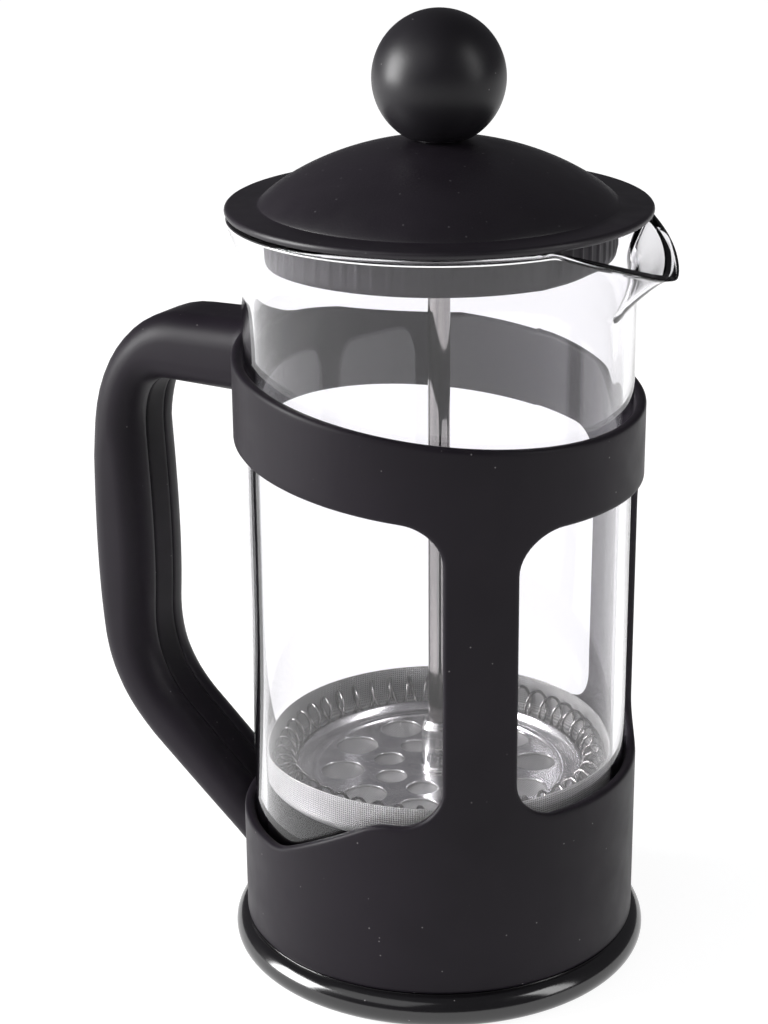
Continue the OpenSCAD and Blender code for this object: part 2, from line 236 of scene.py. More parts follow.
def mouldedPlastic(name, look):
    # black plastic with cloudy sheen, a fine moulded grain and a few pale specks of dust
    material, nodes, links, shader = newFinish(name)
    clouds = noiseNode(nodes, links, look["cloudScale"], 3)
    tone = nodes.new("ShaderNodeMix")
    tone.data_type = "RGBA"
    tone.inputs["A"].default_value = (*look["dark"], 1)
    tone.inputs["B"].default_value = (*look["pale"], 1)
    links.new(rangeNode(nodes, links, clouds.outputs["Fac"], 0, 1).outputs["Result"], tone.inputs["Factor"])
    specks = nodes.new("ShaderNodeTexVoronoi")
    specks.inputs["Scale"].default_value = look["speckScale"]
    place = nodes.new("ShaderNodeTexCoord")
    links.new(place.outputs["Object"], specks.inputs["Vector"])
    size, rare = look["speckSize"], look["speckRarity"]
    speckSize = rangeNode(nodes, links, specks.outputs["Distance"], 1, 0, size * 0.5, size)
    rarity = rangeNode(nodes, links, specks.outputs["Color"], 0, 1, rare, rare + 0.01)
    both = nodes.new("ShaderNodeMath")
    both.operation = "MULTIPLY"
    links.new(speckSize.outputs["Result"], both.inputs[0])
    links.new(rarity.outputs["Result"], both.inputs[1])
    dusty = nodes.new("ShaderNodeMix")
    dusty.data_type = "RGBA"
    links.new(both.outputs["Value"], dusty.inputs["Factor"])
    links.new(tone.outputs["Result"], dusty.inputs["A"])
    dusty.inputs["B"].default_value = (*look["dust"], 1)
    links.new(dusty.outputs["Result"], shader.inputs["Base Color"])
    wear = noiseNode(nodes, links, look["wearScale"], 4)
    rough = rangeNode(nodes, links, wear.outputs["Fac"], look["rough"][0], look["rough"][1])
    links.new(rough.outputs["Result"], shader.inputs["Roughness"])
    grain = noiseNode(nodes, links, look["grainScale"], 2)
    addBump(nodes, links, shader, grain.outputs["Fac"], look["grain"], 0.0001)
    shader.inputs["IOR"].default_value = 1.46
    shader.inputs["Specular IOR Level"].default_value = look["shine"]
    return material


satinBlack = {"dark": (0.0068, 0.0052, 0.0078), "pale": (0.0104, 0.0080, 0.0118),
              "dust": (0.16, 0.15, 0.155), "cloudScale": 35, "wearScale": 160, "rough": (0.42, 0.50),
              "grainScale": 2600, "grain": 0.025, "speckScale": 420, "speckSize": 0.07,
              "speckRarity": 0.60, "shine": 0.17}
mattStrip = {**satinBlack, "rough": (0.48, 0.58), "shine": 0.12, "dark": (0.0045, 0.0038, 0.0050)}
glossyRing = {**satinBlack, "rough": (0.12, 0.18), "grain": 0.01, "shine": 0.90,
              "dark": (0.004, 0.0036, 0.0042), "pale": (0.006, 0.0055, 0.0064)}
grainyLid = {**satinBlack, "rough": (0.38, 0.46), "grain": 0.20, "shine": 0.40,
             "speckSize": 0.10, "speckRarity": 0.45, "dust": (0.045, 0.042, 0.047)}
wornBall = {**satinBlack, "rough": (0.32, 0.44), "wearScale": 90, "grain": 0.06, "shine": 0.30,
            "dark": (0.0065, 0.0058, 0.0075), "pale": (0.0105, 0.0094, 0.0118)}
framePlastic = mouldedPlastic("framePlastic", satinBlack)
stripPlastic = mouldedPlastic("stripPlastic", mattStrip)
ringPlastic = mouldedPlastic("ringPlastic", glossyRing)
lidPlastic = mouldedPlastic("lidPlastic", grainyLid)
skirtPlastic = mouldedPlastic("skirtPlastic", {**satinBlack, "rough": (0.34, 0.42), "shine": 0.21})
guidePlastic = mouldedPlastic("guidePlastic", {**satinBlack, "rough": (0.30, 0.40)})
knobPlastic = mouldedPlastic("knobPlastic", wornBall)


def polishedSteel(name, look):
    # bright metal with faint drawn lines
    material, nodes, links, shader = newFinish(name)
    lines = noiseNode(nodes, links, look["lineScale"], 3, look["stretch"])
    tone = nodes.new("ShaderNodeMix")
    tone.data_type = "RGBA"
    tone.inputs["A"].default_value = (*look["dark"], 1)
    tone.inputs["B"].default_value = (*look["pale"], 1)
    links.new(rangeNode(nodes, links, lines.outputs["Fac"], 0, 1).outputs["Result"], tone.inputs["Factor"])
    links.new(tone.outputs["Result"], shader.inputs["Base Color"])
    rough = rangeNode(nodes, links, lines.outputs["Fac"], look["rough"][0], look["rough"][1])
    links.new(rough.outputs["Result"], shader.inputs["Roughness"])
    addBump(nodes, links, shader, lines.outputs["Fac"], look["bump"], 0.0001)
    shader.inputs["Metallic"].default_value = 1
    return material


brightSteel = {"dark": (0.50, 0.50, 0.51), "pale": (0.72, 0.71, 0.70), "lineScale": 900,
               "stretch": (1, 1, 0.03), "rough": (0.12, 0.24), "bump": 0.06}
rodLook = {**brightSteel, "dark": (0.26, 0.25, 0.25), "pale": (0.40, 0.38, 0.37), "rough": (0.05, 0.11),
           "bump": 0.02}
plateLook = {**brightSteel, "dark": (0.66, 0.65, 0.66), "pale": (0.76, 0.75, 0.75), "rough": (0.20, 0.27),
             "stretch": (1, 1, 1), "lineScale": 260, "bump": 0.006}
coilLook = {**brightSteel, "dark": (0.26, 0.25, 0.25), "pale": (0.46, 0.45, 0.44), "rough": (0.07, 0.13),
            "stretch": (1, 1, 1), "bump": 0.01}
rodSteel = polishedSteel("rodSteel", rodLook)
hubSteel = polishedSteel("hubSteel", {**brightSteel, "rough": (0.16, 0.28), "stretch": (0.2, 0.2, 1)})
plateSteel = polishedSteel("plateSteel", plateLook)
coilSteel = polishedSteel("coilSteel", coilLook)
brassLook = {**brightSteel, "dark": (0.55, 0.38, 0.16), "pale": (0.72, 0.52, 0.24)}
insertBrass = polishedSteel("insertBrass", brassLook)


def wovenSteel(name, look):
    # crossed fine wires, drawn over the mesh's own flattened coordinates
    material, nodes, links, shader = newFinish(name)
    place = nodes.new("ShaderNodeUVMap")
    waves = []
    for direction in ("X", "Y"):
        wave = nodes.new("ShaderNodeTexWave")
        wave.wave_type = "BANDS"
        wave.bands_direction = direction
        wave.inputs["Scale"].default_value = look["wires"]
        wave.inputs["Distortion"].default_value = 0.4
        wave.inputs["Detail"].default_value = 1
        links.new(place.outputs["UV"], wave.inputs["Vector"])
        waves.append(wave)
    weave = nodes.new("ShaderNodeMath")
    weave.operation = "MAXIMUM"
    links.new(waves[0].outputs["Fac"], weave.inputs[0])
    links.new(waves[1].outputs["Fac"], weave.inputs[1])
    tone = nodes.new("ShaderNodeMix")
    tone.data_type = "RGBA"
    tone.inputs["A"].default_value = (*look["gap"], 1)
    tone.inputs["B"].default_value = (*look["wire"], 1)
    wires = rangeNode(nodes, links, weave.outputs["Value"], 0, 1, 0.35, 0.8)
    links.new(wires.outputs["Result"], tone.inputs["Factor"])
    links.new(tone.outputs["Result"], shader.inputs["Base Color"])
    addBump(nodes, links, shader, weave.outputs["Value"], look["bump"], 0.0003)
    shader.inputs["Roughness"].default_value = 0.42
    shader.inputs["Metallic"].default_value = 0.85
    return material


meshLook = {"wires": 0.75, "gap": (0.075, 0.075, 0.08), "wire": (0.36, 0.355, 0.35), "bump": 0.7}
meshSteel = wovenSteel("meshSteel", meshLook)


def clearGlass(name):
    # clear glass that lets lamp light through, with faint waves in its face
    material, nodes, links, shader = newFinish(name)
    shader.inputs["Base Color"].default_value = (0.957, 0.951, 0.972, 1)
    shader.inputs["IOR"].default_value = 1.42
    shader.inputs["Transmission Weight"].default_value = 1
    shader.inputs["Roughness"].default_value = 0
    waves = noiseNode(nodes, links, 30, 1)
    addBump(nodes, links, shader, waves.outputs["Fac"], 0.04, 0.0005)
    clear = nodes.new("ShaderNodeBsdfTransparent")
    rays = nodes.new("ShaderNodeLightPath")
    blend = nodes.new("ShaderNodeMixShader")
    links.new(rays.outputs["Is Shadow Ray"], blend.inputs["Fac"])
    links.new(shader.outputs["BSDF"], blend.inputs[1])
    links.new(clear.outputs["BSDF"], blend.inputs[2])
    links.new(blend.outputs["Shader"], nodes["Material Output"].inputs["Surface"])
    return material


beakerGlass = clearGlass("beakerGlass")
print("finishes made")


# frame: band, legs and cup in one moulded wall
shell = {"wall": 1.9, "cupTop": 39.6, "cupBack": 28.2, "bandLow": 97.4, "bandHigh": 112.3, "lowRise": 4.0,
         "highRise": 4.7, "legNear": 38.0, "legFar": 59.0, "windowRound": 7.5, "slopeStart": -15.0,
         "slopeEnd": 7.5, "slopeRound": 12.0, "edge": 0.75, "margin": 0.5, "strip": 3.0, "fillSeam": 48.5,
         "climb": 1.2, "climbAngle": 42.0, "ledge": 11.0, "ledgeThick": 2.0, "step": 0.6}
shellOut = shellHigh.y
shellIn = shellOut - shell["wall"]
ringTop = ringHigh.z


def bandEdge(middle, rise, x):
    return middle - rise * x / shellOut


def bandTop(angle):
    # the upper edge climbs to meet the top of the handle
    near = max(0.0, 1 - abs(angle % 360 - 180) / shell["climbAngle"])
    climb = shell["climb"] * near * near * (3 - 2 * near)
    return bandEdge(shell["bandHigh"], shell["highRise"], shellOut * math.cos(math.radians(angle))) + climb


def roundTheAxis(path):
    # [x, height] points of an upright cut to [angle, height] points on the wall
    spread = []
    for (x0, z0), (x1, z1) in zip(path, path[1:]):
        a0, a1 = [math.degrees(math.acos(max(-1, min(1, x / shellOut)))) for x in (x0, x1)]
        steps = max(1, math.ceil(abs(a1 - a0) / shell["strip"]))
        for k in range(steps):
            angle = a0 + (a1 - a0) * k / steps
            share = k / steps  # on an upright line, by count
            if abs(x1 - x0) > 1e-9:
                share = (shellOut * math.cos(math.radians(angle)) - x0) / (x1 - x0)
            spread.append((angle, z0 + (z1 - z0) * share))
    spread.append((math.degrees(math.acos(max(-1, min(1, path[-1][0] / shellOut)))), path[-1][1]))
    return spread


def frameOutlines():
    legX = shellOut * math.cos(math.radians(shell["legFar"]))
    legY = shellOut * math.sin(math.radians(shell["legNear"]))
    start, end, cupTop, cupBack = shell["slopeStart"], shell["slopeEnd"], shell["cupTop"], shell["cupBack"]
    bend = shell["slopeRound"]
    low = [bandEdge(shell["bandLow"], shell["lowRise"], x) for x in (-shellOut, legX)]
    bottom = [(-shellOut, cupBack)]
    bottom += roundedCorner((-shellOut, cupBack), (start, cupBack), (end, cupTop), bend)
    bottom += roundedCorner((start, cupBack), (end, cupTop), (legX, cupTop), bend)
    bottom += roundedCorner((0, cupTop), (legX, cupTop), (legX, low[1]), shell["windowRound"])
    top = roundedCorner((legX, cupTop), (legX, low[1]), (-shellOut, low[0]), shell["windowRound"])
    half = roundTheAxis(bottom) + roundTheAxis(top + [(-shellOut, low[0])])
    # the far half runs from the handle to the leg and back, and the near half mirrors it
    near = [(360 - angle, z) for angle, z in reversed(half)]
    sideWindow = half + near[1:-1]
    lipTop = bandEdge(shell["bandLow"], shell["lowRise"], shellIn)
    lipWindow = []
    square = [(-legY, cupTop), (-legY, lipTop), (legY, lipTop), (legY, cupTop)]
    for i, corner in enumerate(square):
        lipWindow += roundedCorner(square[i - 1], corner, square[(i + 1) % 4], shell["windowRound"])
    lipWindow = [(360 + math.degrees(math.asin(y / shellOut)), z) for y, z in lipWindow]
    seam = shell["fillSeam"]
    angles = [seam + 1.5 * k for k in range(241)]
    bottomLine = [(angle, ringTop) for angle in angles[::2]]
    topLine = [(angle, bandTop(angle)) for angle in reversed(angles)]
    return [sideWindow, lipWindow], [bottomLine, topLine]


def signedArea(points):
    return sum(a[0] * b[1] - b[0] * a[1] for a, b in zip(points, points[1:] + points[:1])) / 2


def bendRound(bm, radius):
    # (arc length, height, depth) to the wall round the axis
    for vert in bm.verts:
        angle = vert.co.x / radius
        reach = radius - vert.co.z
        vert.co = Vector((reach * math.cos(angle), reach * math.sin(angle), vert.co.y))


def makeFrameWall():
    perDegree = math.radians(1) * shellOut
    windows, lines = frameOutlines()
    windows = [w if signedArea(w) < 0 else list(reversed(w)) for w in windows]
    windows = [[(angle * perDegree, z) for angle, z in w] for w in windows]
    lines = [[(angle * perDegree, z) for angle, z in line] for line in lines]
    bm = roundedSlab(windows, lines, shell["wall"], shell["edge"], shell["margin"])
    seam = shell["fillSeam"]
    cutUpright(bm, seam * perDegree, (seam + 360) * perDegree, shell["strip"] * perDegree)
    bendRound(bm, shellOut)
    bmesh.ops.remove_doubles(bm, verts=bm.verts, dist=0.002)
    return addPiece("frameWall", bm, framePlastic, "frame", ["frame"])


def makeCupLedge():
    # the step into the base ring, and the ledge that the glass stands on
    floor, step, inside = shellLow.z, shell["step"], shellIn - shell["ledge"]
    top = floor + shell["ledgeThick"]
    outline = [(inside, floor), (shellOut - step, floor), (shellOut - step, ringTop + 0.4),
               (shellIn + 0.2, ringTop + 0.4), (shellIn + 0.2, top), (inside, top)]
    bm = bmesh.new()
    turnOutline(bm, outline)
    return addPiece("cupLedge", bm, framePlastic, "frame", ["frame"], smooth=False)


makeFrameWall()
makeCupLedge()
print("frame wall made")


# handle
handle = {"reach": 74.5, "width": 18.0, "grip": 12.5, "round": 5.2, "armTop": 118.0, "armHeight": 14.0,
          "outSlope": 0.84, "inSlope": 0.885, "stripWidth": 5.8, "stripDepth": 3.0, "slack": 0.05,
          "steps": 14, "fillet": 1.8, "sides": 8}


# the two edges of the handle are chains of curved arcs, in (distance from the axis, height)
def lineArc(a, b):
    a, b = Vector(a), Vector(b)
    return [a, a + (b - a) / 3, a + (b - a) * 2 / 3, b]


def outerChain(start):
    reach, top, low = handle["reach"], handle["armTop"], shell["cupBack"]
    bend = (reach - 12.4, low + 1)
    arm, side, foot = (reach - 22.5, top - 0.6), (reach - 0.2, top - 32), (reach - 1, low + 20.8)
    return [lineArc((start, top), arm),
            [arm, (reach - 10.0, top - 0.75), (reach - 0.9, top - 12.5), side],
            [side, (reach + 0.2, top - 46), (reach + 0.3, low + 31.8), foot],
            [foot, (reach - 2.3, low + 11.8), (bend[0] + 6.5, bend[1] + 6.3), bend],
            lineArc(bend, (start, bend[1] - handle["outSlope"] * (bend[0] - start)))]


def innerChain(start):
    inside, low = handle["reach"] - handle["grip"], shell["cupBack"]
    top = handle["armTop"] - handle["armHeight"]
    bend = (inside - 6.6, low + 8.0)
    arm, side, foot = (inside - 6, top), (inside + 1.4, top - 12.5), (inside + 1, low + 27.8)
    return [lineArc((start, top), arm),
            [arm, (inside - 0.5, top), (inside + 1.6, top - 4.5), side],
            [side, (inside + 0.8, top - 24), (inside + 0.1, low + 38.8), foot],
            [foot, (inside + 1.7, low + 19), (bend[0] + 5, bend[1] + 4.3), bend],
            lineArc(bend, (start, bend[1] - handle["inSlope"] * (bend[0] - start)))]


def chainPoints(chain):
    points = []
    for arc in chain:
        a, b, c, d = [Vector(p) for p in arc]
        for k in range(handle["steps"]):
            t = k / handle["steps"]
            points.append(a * (1 - t) ** 3 + b * 3 * t * (1 - t) ** 2 + c * 3 * t * t * (1 - t) + d * t ** 3)
    return points + [Vector(chain[-1][-1])]


def gripSection(depth):
    # points as (out from the inner face, across), with a groove for the strip
    r = min(handle["round"], depth / 2 - 0.2)
    s = handle["width"] / 2 - r
    n = handle["stripWidth"] / 2 + handle["slack"]
    d = handle["stripDepth"]
    sides = handle["sides"]
    return (arcPoints((r, s), r, 180, 90, sides) + arcPoints((depth - r, s), r, 90, 0, sides)
            + arcPoints((depth - r, -s), r, 0, -90, sides) + arcPoints((r, -s), r, -90, -180, sides)
            + [(0.0, -n - 0.12), (0.12, -n), (d, -n), (d, n), (0.12, n), (0.0, n + 0.12)])


def stripSection(depth):
    # the same at every depth of the grip
    half, depth = handle["stripWidth"] / 2, min(depth, handle["stripDepth"])
    return [(0.14, half), (depth, half), (depth, -half), (0.14, -half), (0.0, -half + 0.14),
            (-0.04, -half + 0.9), (-0.05, 0), (-0.04, half - 0.9), (0.0, half - 0.14)]


def sweepHandle(start, section, fillet):
    inner, outer = chainPoints(innerChain(start)), chainPoints(outerChain(start))
    bm = bmesh.new()
    rings = []
    for i, (p, q) in enumerate(zip(inner, outer)):
        depth = (q - p).length
        along = (q - p) / depth
        ring = []
        for out, across in section(depth):
            place = p + along * out
            away = math.hypot(place.x, across) - shellOut
            if fillet and away < fillet:
                # the handle grows wider where it meets the band and the cup
                gap = max(away, 0)
                spread = fillet - math.sqrt(fillet ** 2 - (fillet - gap) ** 2)
                across += math.copysign(1, across) * min(abs(across) / 4, 1) * spread
            reach = place.x
            if i in (0, len(inner) - 1) and fillet:
                reach = math.sqrt(max((shellOut - shell["wall"] / 2) ** 2 - across ** 2, 1))
            ring.append(bm.verts.new((-reach, across, place.y)))
        rings.append(ring)
    for a, b in zip(rings, rings[1:]):
        for k in range(len(a)):
            n = (k + 1) % len(a)
            bm.faces.new((a[k], a[n], b[n], b[k]))
    for ring in (rings[0], rings[-1]):
        cap = bm.faces.new(ring)
        bmesh.ops.triangulate(bm, faces=[cap])
    return bm


addPiece("handleGrip", sweepHandle(shellOut - 0.4, gripSection, handle["fillet"]), framePlastic, "frame",
         ["frame"])
addPiece("handleStrip", sweepHandle(shellOut + 0.1, stripSection, 0), stripPlastic, "frame",
         ["handle_strip"])
print("handle made")


# base ring
def makeBaseRing():
    bead = ringTop / 2
    middle = ringHigh.x - bead
    outline = [(0, 0)] + arcPoints((middle, bead), bead, -90, 80, 20)
    seat = shellOut - shell["step"]
    outline += [(shellOut - 0.1, ringTop - 0.05), (seat, ringTop - 0.3), (seat, shellLow.z), (0, shellLow.z)]
    bm = bmesh.new()
    turnOutline(bm, outline, closed=False)
    return addPiece("baseRing", bm, ringPlastic, "frame", ["base_ring"])


makeBaseRing()
print("base ring made")


# glass beaker with its pouring lip
beaker = {"radius": 34.8, "wall": 2.0, "foot": 4.0, "flareHeight": 9.0, "lipAngle": 28.0, "lipHeight": 15.9,
          "lipDip": 6.7, "segments": 240, "tipRound": 2.2, "lipThin": 0.45, "lipEase": 0.08}
beakerRadius = beaker["radius"]
rimZ = glassHigh.z
rimRadius = glassHigh.y
lipTip = glassHigh.x


def lipShare(angle):
    # 1 on the middle line of the lip, easing to 0 at its ends
    soft = math.hypot(angle, beaker["tipRound"]) - beaker["tipRound"]
    share = max(0.0, 1 - soft / (beaker["lipAngle"] + 0.5))
    return share ** 2 * (1 + beaker["lipEase"]) / (share + beaker["lipEase"])


def rimReach(angle):
    return rimRadius + (lipTip - rimRadius) * lipShare(angle)


def rimHeight(angle):
    return rimZ - beaker["lipDip"] * lipShare(angle)


def flareCurve(t):
    t = max(0.0, min(1.0, t))
    return 0.7 * (3 * t * t - 2 * t ** 3) + 0.3 * t


def lipCurve(t):
    t = max(0.0, min(1.0, t))
    return 0.86 * t ** 1.25 + 0.14 * t ** 14


def beakerOuter(angle):
    # the outer face of the glass at one angle, from the middle of its foot to the rim
    foot = beaker["foot"]
    column = [(r, glassLow.z) for r in (0.001, 12, 24)]
    column += arcPoints((beakerRadius - foot, glassLow.z + foot), foot, -90, 0, 8)
    share = lipShare(angle) ** 0.8
    low = (rimZ - beaker["flareHeight"]) * (1 - share) + (rimZ - beaker["lipHeight"]) * share
    high = rimHeight(angle)
    column += [(beakerRadius, glassLow.z + foot + (low - glassLow.z - foot) * k / 6) for k in range(1, 7)]
    for k in range(1, 19):
        t = k / 18
        grow = (1 - share) * flareCurve(t) + share * lipCurve(t)
        column.append((beakerRadius + (rimReach(angle) - beakerRadius) * grow, low + (high - low) * t))
    return column


def makeBeaker():
    count = beaker["segments"]
    angles = []
    for k in range(count):
        u = 2 * k / count - 1
        angles.append(180 * (0.45 * u + 0.55 * u ** 3))
    columns = [beakerOuter(angle) for angle in angles]
    outer = [[Vector((r * math.cos(math.radians(a)), r * math.sin(math.radians(a)), z)) for r, z in column]
             for a, column in zip(angles, columns)]
    rows = len(outer[0])
    bm = bmesh.new()
    outside = []
    inside = []
    for i in range(count):
        left, right = outer[i - 1], outer[(i + 1) % count]
        outside.append([])
        inside.append([])
        for j in range(rows):
            p = outer[i][j]
            up = outer[i][min(j + 1, rows - 1)] - outer[i][max(j - 1, 0)]
            normal = (right[j] - left[j]).cross(up)
            normal = Vector((0, 0, -1)) if j < 3 else normal.normalized()
            flared = max(0, j - 14) / (rows - 15)
            wall = beaker["wall"] * (1 - beaker["lipThin"] * lipShare(angles[i]) ** 0.5 * flared)
            outside[i].append(bm.verts.new(p))
            inner = p - normal * wall
            if j == rows - 1:
                inner.z = p.z
            inside[i].append(bm.verts.new(inner))
    # a round bead closes the wall along the rim
    lip = []
    for i in range(count):
        a, b = outside[i][-1].co, inside[i][-1].co
        middle, half = (a + b) / 2, (a - b) / 2
        lip.append([])
        for k in range(1, 6):
            angle = math.pi * k / 6
            lift = Vector((0, 0, half.length * math.sin(angle)))
            lip[i].append(bm.verts.new(middle + half * math.cos(angle) + lift))
        drop = half.length
        for vert in [outside[i][-1], inside[i][-1]] + lip[i]:
            vert.co.z -= drop
    for i in range(count):
        n = (i + 1) % count
        for wall in (outside, inside):
            for j in range(rows - 1):
                bm.faces.new((wall[i][j], wall[n][j], wall[n][j + 1], wall[i][j + 1]))
        bead = [[outside[k][-1]] + lip[k] + [inside[k][-1]] for k in (i, n)]
        for j in range(len(bead[0]) - 1):
            bm.faces.new((bead[0][j], bead[1][j], bead[1][j + 1], bead[0][j + 1]))
    bmesh.ops.remove_doubles(bm, verts=bm.verts, dist=0.004)
    return addPiece("glassBeaker", bm, beakerGlass, "beaker", ["glass_beaker"])


makeBeaker()
print("beaker made")


# lid
lid = {"domeRadius": 31.5, "domeHeight": 11.0, "wall": 1.7, "brim": 1.5, "bore": 4.0, "fall": 2.0,
       "foot": 0.85, "skirtOut": 31.0, "skirtIn": 29.6, "ribs": 72, "ribDepth": 0.25}
brimRadius = brimHigh.x
domeBase = brimLow.z + lid["brim"]


def domeHeight(r):
    share = 1 - (r / lid["domeRadius"]) ** lid["fall"]
    return domeBase + lid["domeHeight"] * max(share, 0) ** lid["foot"]


def makeLid():
    edge = lid["brim"] / 2
    outline = arcPoints((brimRadius - edge, brimLow.z + edge), edge, -90, 90, 10)
    outline.append((lid["domeRadius"] + 1.2, domeBase - 0.05))
    outline.append((lid["domeRadius"] + 0.35, domeBase + 0.02))
    radii = [lid["domeRadius"] * math.sin(math.radians(90 * k / 48)) for k in range(49)]
    outline += [(r, domeHeight(r) + 0.06) for r in reversed(radii) if r > lid["bore"]]
    boreTop = domeHeight(lid["bore"])
    outline += [(lid["bore"], boreTop), (lid["bore"], boreTop - lid["wall"])]
    inner = skirtHigh.x - 2.0
    outline += [(r, domeHeight(r) - lid["wall"]) for r in radii if lid["bore"] < r < inner]
    outline += [(inner, brimLow.z + 0.4), (inner + 0.3, brimLow.z)]
    bm = bmesh.new()
    turnOutline(bm, outline, 192)
    for vert in bm.verts:
        vert.co.z = min(vert.co.z, brimHigh.z)
    addPiece("lidDome", bm, lidPlastic, "lid", ["lid_dome"])


def makeSkirt():
    # a short wall with a soft lower edge and fine upright ribs
    outer, inner = lid["skirtOut"], lid["skirtIn"]
    low, high = skirtLow.z, skirtHigh.z
    edge = (outer - inner) / 2
    outline = [(inner, high)] + arcPoints(((outer + inner) / 2, low + edge), edge, 180, 360, 10)
    outline += [(outer, low + (high - low) * k / 4) for k in range(1, 5)]
    segments = lid["ribs"] * 6
    bm = bmesh.new()
    turnOutline(bm, outline, segments)
    for vert in bm.verts:
        radius = math.hypot(vert.co.x, vert.co.y)
        if radius > outer - 0.01 and vert.co.z > low + 1:
            turn = math.atan2(vert.co.y, vert.co.x) * lid["ribs"]
            push = 1 + lid["ribDepth"] * max(0, math.cos(turn)) ** 3 / radius
            vert.co.x *= push
            vert.co.y *= push
    addPiece("lidSkirt", bm, skirtPlastic, "lid", ["lid_skirt"])


makeLid()
makeSkirt()
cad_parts["rod_guide"].data.materials.clear()
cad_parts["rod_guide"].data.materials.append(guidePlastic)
print("lid made")


# plunger
filterSizes = {"plate": 0.6, "rodRadius": 2.0, "beadAt": 23.6, "bead": 0.7, "largeHoles": 10,
               "largeHole": 4.0, "largeAt": 18.3, "smallHoles": 8, "smallHole": 2.85, "smallAt": 10.0,
               "smallTurn": 12.0, "turns": 47, "wire": 0.30, "tall": 2.85, "wirePoints": 22, "meshWall": 0.4}


def makeRod():
    tip, r = 0.5, filterSizes["rodRadius"]
    outline = [(0, rodLow.z), (r - tip, rodLow.z)]
    outline += arcPoints((r - tip, rodLow.z + tip), tip, -90, 0, 4)[1:]
    outline += [(r, rodLow.z + tip + (rodHigh.z - rodLow.z - 2 * tip) * k / 8) for k in range(1, 8)]
    outline += arcPoints((r - tip, rodHigh.z - tip), tip, 0, 90, 4) + [(0, rodHigh.z)]
    bm = bmesh.new()
    turnOutline(bm, outline, 64, closed=False)
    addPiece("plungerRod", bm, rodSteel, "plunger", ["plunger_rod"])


def makeHub():
    r, low, high, inner = hubHigh.x, hubLow.z, hubHigh.z, filterSizes["rodRadius"] + 0.02
    outline = [(inner, low), (r, low), (r, low + 0.6), (r - 0.25, low + 0.9), (r - 0.25, high - 1.4),
               (r - 0.45, high - 1.1), (r - 1.0, high), (inner, high)]
    outline = softPath(outline, 0.12, 3)
    bm = bmesh.new()
    turnOutline(bm, outline, 64)
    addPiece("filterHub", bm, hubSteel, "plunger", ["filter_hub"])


def circleLine(centre, radius, count, forward):
    sign = 1 if forward else -1
    return [(centre[0] + radius * math.cos(sign * 2 * math.pi * k / count),
             centre[1] + radius * math.sin(sign * 2 * math.pi * k / count)) for k in range(count)]


def ringOfHoles(count, at, radius, turn):
    holes = []
    for k in range(count):
        angle = math.radians(turn + 360 * k / count)
        holes.append(circleLine((at * math.cos(angle), at * math.sin(angle)), radius, 32, False))
    return holes


